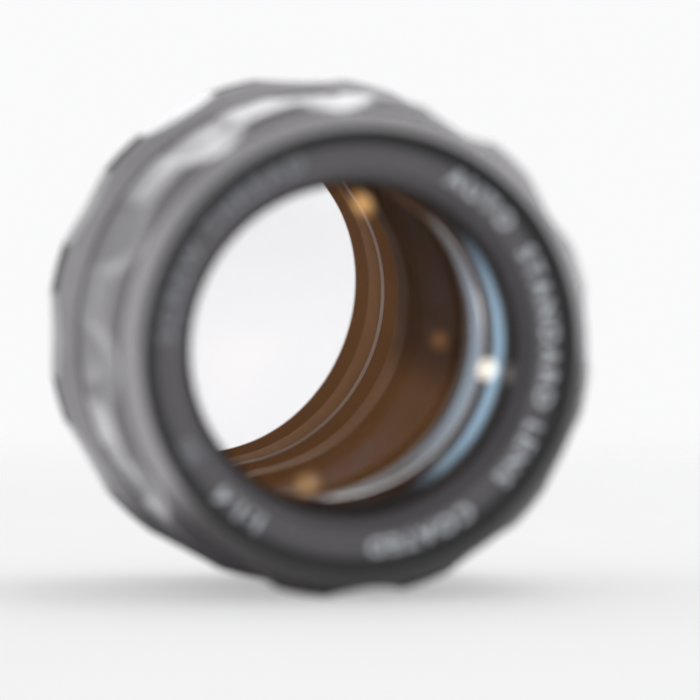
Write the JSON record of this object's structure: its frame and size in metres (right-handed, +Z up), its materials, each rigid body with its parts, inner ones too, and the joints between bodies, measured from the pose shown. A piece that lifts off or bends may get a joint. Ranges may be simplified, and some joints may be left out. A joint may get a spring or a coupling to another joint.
{
  "type": "manual focus camera lens",
  "caption": "Fast manual focus photographic lens with fluted focus and aperture rings, coated glass, working iris and a screw mount, lying on its side.",
  "frame": {"origin": "where the optical axis meets the mount flange face", "axes": "+Y along the optical axis towards the camera, -Y the way the front glass faces, +Z up with the index mark"},
  "size_m": [0.0616, 0.0501, 0.0616],
  "materials": {
    "black_anodised": "satin black anodised aluminium",
    "engraved_black": "matt black with filled engraving",
    "bright_mount": "satin chromed brass",
    "screw_steel": "turned steel",
    "spring_steel": "spring steel",
    "helicoid_brass": "turned and greased",
    "iris_steel": "blackened steel",
    "blade_steel": "blackened spring steel",
    "spacer_black": "matt black paint",
    "coated_glass": "optical glass with an amber anti-reflection coating"
  },
  "bodies": {
    "base": {"base_barrel": "black_anodised", "index_ring": "black_anodised", "mount_ring": "bright_mount", "mount_screws": "screw_steel", "rear_baffle": "black_anodised", "pin_housing": "helicoid_brass", "pin_housing_screw": "screw_steel", "guide_keys": "helicoid_brass", "key_screws": "screw_steel", "focus_stop_pin": "screw_steel", "detent_ball": "screw_steel", "detent_spring": "spring_steel"},
    "focus": {"focus_ring": "black_anodised", "helicoid_sleeve": "helicoid_brass", "focus_screws": "screw_steel"},
    "head": {"front_bezel": "black_anodised", "bezel_screws": "screw_steel", "name_ring": "engraved_black", "front_cell": "black_anodised", "front_spacer": "spacer_black", "head_barrel": "black_anodised", "iris_plate": "iris_steel", "rear_cell": "black_anodised", "rear_spacer_1": "spacer_black", "rear_spacer_2": "spacer_black", "rear_retainer": "spacer_black", "element_1": "coated_glass", "element_2": "coated_glass", "element_3": "coated_glass", "element_4": "coated_glass", "element_5": "coated_glass", "element_6": "coated_glass", "element_7": "coated_glass"},
    "aperture": {"aperture_ring": "black_anodised", "aperture_arm": "iris_steel", "arm_screws": "screw_steel"},
    "iris_drive": {"iris_drive_ring": "iris_steel"},
    "stop_down": {"stop_down_pin": "screw_steel", "stop_down_spring": "spring_steel"},
    "switch": {"mode_switch": "black_anodised"},
    "iris_blade_1": {"iris_blade_1": "blade_steel"},
    "iris_blade_2": {"iris_blade_2": "blade_steel"},
    "iris_blade_3": {"iris_blade_3": "blade_steel"},
    "iris_blade_4": {"iris_blade_4": "blade_steel"},
    "iris_blade_5": {"iris_blade_5": "blade_steel"},
    "iris_blade_6": {"iris_blade_6": "blade_steel"}
  },
  "joints": [
    {"name": "focus_turn", "type": "hinge", "parent": "base", "child": "focus", "pos_m": [0, 0, 0], "axis": [0, -1, 0], "range_deg": [0, 240]},
    {"name": "head_slide", "type": "slide", "parent": "base", "child": "head", "axis": [0, -1, 0], "range_m": [0, 0.0072]},
    {"name": "aperture_turn", "type": "hinge", "parent": "base", "child": "aperture", "pos_m": [0, 0, 0], "axis": [0, -1, 0], "range_deg": [0, 42]},
    {"name": "iris_turn", "type": "hinge", "parent": "head", "child": "iris_drive", "pos_m": [0, 0, 0], "axis": [0, -1, 0], "range_deg": [0, 42.01]},
    {"name": "blade_1_turn", "type": "hinge", "parent": "head", "child": "iris_blade_1", "pos_m": [0.01936, -0.02, 0.00705], "axis": [0, -1, 0], "range_deg": [0, 33.01]},
    {"name": "blade_2_turn", "type": "hinge", "parent": "head", "child": "iris_blade_2", "pos_m": [0.00358, -0.02, 0.02029], "axis": [0, -1, 0], "range_deg": [0, 33.01]},
    {"name": "blade_3_turn", "type": "hinge", "parent": "head", "child": "iris_blade_3", "pos_m": [-0.01578, -0.02, 0.01324], "axis": [0, -1, 0], "range_deg": [0, 33.01]},
    {"name": "blade_4_turn", "type": "hinge", "parent": "head", "child": "iris_blade_4", "pos_m": [-0.01936, -0.02, -0.00705], "axis": [0, -1, 0], "range_deg": [0, 33.01]},
    {"name": "blade_5_turn", "type": "hinge", "parent": "head", "child": "iris_blade_5", "pos_m": [-0.00358, -0.02, -0.02029], "axis": [0, -1, 0], "range_deg": [0, 33.01]},
    {"name": "blade_6_turn", "type": "hinge", "parent": "head", "child": "iris_blade_6", "pos_m": [0.01578, -0.02, -0.01324], "axis": [0, -1, 0], "range_deg": [0, 33.01]},
    {"name": "stop_down_slide", "type": "slide", "parent": "base", "child": "stop_down", "axis": [0, -1, 0], "range_m": [0, 0.0022], "stiffness_N_per_m": 150, "springref_m": -0.001, "deforming": ["stop_down_spring"]},
    {"name": "switch_slide", "type": "hinge", "parent": "base", "child": "switch", "pos_m": [0, 0, 0], "axis": [0, -1, 0], "range_deg": [0, 14]}
  ],
  "couplings": [
    {"joint": "head_slide", "follows": "focus_turn", "m_per_rad": 0.0017},
    {"joint": "iris_turn", "follows": "aperture_turn", "ratio": 1},
    {"joint": "blade_1_turn", "follows": "aperture_turn", "ratio": 0.78571},
    {"joint": "blade_2_turn", "follows": "aperture_turn", "ratio": 0.78571},
    {"joint": "blade_3_turn", "follows": "aperture_turn", "ratio": 0.78571},
    {"joint": "blade_4_turn", "follows": "aperture_turn", "ratio": 0.78571},
    {"joint": "blade_5_turn", "follows": "aperture_turn", "ratio": 0.78571},
    {"joint": "blade_6_turn", "follows": "aperture_turn", "ratio": 0.78571}
  ]
}
